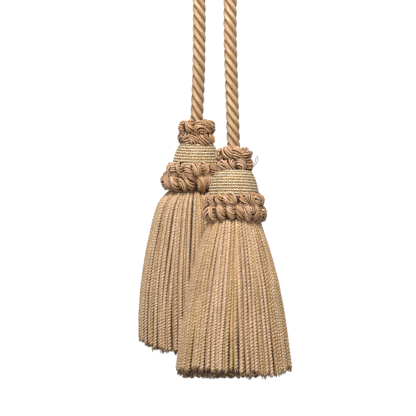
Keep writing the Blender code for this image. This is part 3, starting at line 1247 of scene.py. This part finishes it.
def skirt_guide(side, root_angle, hem_angle, share, sunk, draw, ragged, first):
    """One hanging yarn, from under the waist to its cut end, as (point, thickness) pairs."""
    tassel = TASSELS[side]
    root, hem = tassel["skirt"][0][0], tassel["skirt"][-1][0]
    short = tassel["shortness"] * max(0, cos(hem_angle - tassel["short_side"])) ** 4
    lift = tassel["lift"] * max(0, cos(hem_angle - LIFT_SIDE)) if share > LIFTED_SHARE else 0
    end = hem - short - lift - draw.uniform(*ragged)
    drift = draw.gauss(0, DRIFT)
    if draw.random() < STRAY_SHARE:
        drift = draw.choice((-1, 1)) * draw.uniform(*STRAY_DRIFT)
    wander = draw.uniform(0, 100)
    guide = []
    for step in range(GUIDE_STEPS):
        fall = first + (1 - first) * step / (GUIDE_STEPS - 1)
        depth = root + (end - root) * fall
        spread = min(1, fall / SPREAD_BY)
        angle = root_angle + (hem_angle - root_angle) * spread
        sway = SWAY * fall * noise.noise(Vector((wander, fall * SWAY_PACE, 0)))
        angle += (drift * fall**1.5 + sway) / skirt_radius(side, depth)
        radius = share * pressed_radius(side, depth, angle) - SKIRT_SEAT
        radius -= share * sunk * max(0, 1 - fall / OUT_BY)
        radius += STAND_OFF * noise.noise(Vector((wander, fall * STAND_OFF_PACE, 50)))
        thickness = ROOT_THICKNESS + (1 - ROOT_THICKNESS) * spread
        guide.append((hung(side, radius, angle, depth), thickness))
    return guide


def ring_guides(side, count, share, seed, ragged, lanes=(False,), first=0.0):
    """A ring of yarns. A lane marked True starts under its neighbours."""
    draw = random.Random(TASSELS[side]["seed"] * 100 + seed)
    tops = sum(not lanes[k % len(lanes)] for k in range(count))
    laid_tops = 0
    guides = []
    for k in range(count):
        under = lanes[k % len(lanes)]
        lane = laid_tops - 0.5 if under else laid_tops
        laid_tops += not under
        root_angle = 2 * pi * (lane + draw.uniform(-ROOT_SCATTER, ROOT_SCATTER)) / tops
        hem_angle = 2 * pi * (k + draw.uniform(-HEM_SCATTER, HEM_SCATTER)) / count
        sunk = LANE_SUNK if under else draw.uniform(0, TOP_SUNK)
        guides.append(skirt_guide(side, root_angle, hem_angle, share, sunk, draw, ragged, first))
    return guides


def away_from_axis(side):
    """Gives the way straight out from a tassel's axis for any spot of its skirt."""
    tassel = TASSELS[side]
    axis = Matrix.Rotation(tassel["lean"], 3, "X") @ Vector((0, 0, -1))

    def outward(place):
        spot = place - tassel["top"]
        return (spot - spot.dot(axis) * axis).normalized()

    return outward


def add_skirt_yarns(name, side, guides, material, fineness):
    """Hanging two-ply yarns, with a mark on each of how far it faces out of the skirt."""
    sides, step = fineness
    piece = spin_yarn(
        name,
        guides,
        material,
        {
            "Radius": SKIRT_YARN,
            "Plies": 2.0,
            "Groove": 0.38,
            "Lay Length": YARN_LEAD,
            "Unevenness": 0.30,
            "Sides": sides,
            "Step": step,
            "End Taper": 0.0004,
            "Bake Rows": 4,
            "Seed": TASSELS[side]["seed"],
        },
    )
    mark_facing(piece, away_from_axis(side))
    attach(piece, "root")
    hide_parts(f"{side}_skirt")


def add_frayed_ends(side, guides):
    """The loosened fibres at the yarns' cut ends, which spread as they leave them."""
    draw = random.Random(TASSELS[side]["seed"] * 1000)
    fibres = []
    for guide in guides:
        (above, _), (end, _) = guide[-2:]
        down = (end - above).normalized()
        for _ in range(END_FIBRES):
            turn = draw.uniform(0, 2 * pi)
            off = draw.uniform(*FIBRE_OFF)
            beside = Vector((cos(turn), sin(turn), 0)) * off * FIBRE_RING * SKIRT_YARN
            start = end - down * FIBRE_SEAT + beside
            tip = end + down * draw.uniform(*FIBRE_REACH) + beside * draw.uniform(*FIBRE_FAN)
            between = (start + tip) / 2 + beside * draw.uniform(*FIBRE_BOW)
            fibres.append([start, between, tip])
    piece = spin_yarn(
        f"{side}_skirt_frayed_ends",
        fibres,
        skirt_material,
        {
            "Radius": FIBRE_RADIUS,
            "Lay Length": 0.02,
            "Sides": 3,
            "Step": 0.0006,
            "End Taper": 0.0008,
            "Bake Rows": 24,
            "Seed": 12,
        },
    )
    mark_facing(piece, away_from_axis(side))
    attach(piece, "root")
    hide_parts(f"{side}_skirt")


def add_bundle(side):
    """The yarns in a skirt's middle, as one ribbed body that stops short of the hem, dark with
    painted shade.
    """
    root, hem = TASSELS[side]["skirt"][0][0], TASSELS[side]["skirt"][-1][0]
    drop = hem - BUNDLE_SHORT - root
    depths = [root + drop * k / BUNDLE_STEPS for k in range(BUNDLE_STEPS + 1)]
    profile = [(BUNDLE_SHARE * skirt_radius(side, depth), depth) for depth in depths]
    bundle = spin_yarn(
        f"{side}_skirt_bundle",
        [turned_guide(side, profile)],
        inner_material,
        {
            "Radius": 1.0,
            "Fibres": 60.0,
            "Fibre Height": 0.03,
            "Lay Length": 2.0,
            "Sides": 120,
            "Step": 0.0060,
            "End Taper": 0.0060,
            "Seed": 9,
        },
    )
    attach(bundle, "root")
    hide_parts(f"{side}_skirt")


for side in TASSELS:
    outer_ends = (OUTER_SHORT, OUTER_SHORT + RAGGED_END)
    outer = ring_guides(side, OUTER_YARNS, 1.0, 1, outer_ends, LANES)
    half = OUTER_YARNS // 2
    add_skirt_yarns(f"{side}_skirt_back", side, outer[:half], skirt_material, OUTER_FINENESS)
    add_skirt_yarns(f"{side}_skirt_front", side, outer[half:], skirt_material, OUTER_FINENESS)
    second = ring_guides(side, SECOND_YARNS, SECOND_SHARE, 2, (0.0, RAGGED_END))
    add_skirt_yarns(f"{side}_skirt_second_ring", side, second, skirt_material, SECOND_FINENESS)
    inner = []
    for number, (share, count) in enumerate(INNER_RINGS):
        inner += ring_guides(side, count, share, 3 + number, (0.0, RAGGED_END), first=INNER_START)
    add_skirt_yarns(f"{side}_skirt_inner_rings", side, inner, inner_material, INNER_FINENESS)
    add_frayed_ends(side, outer + second)
    add_bundle(side)
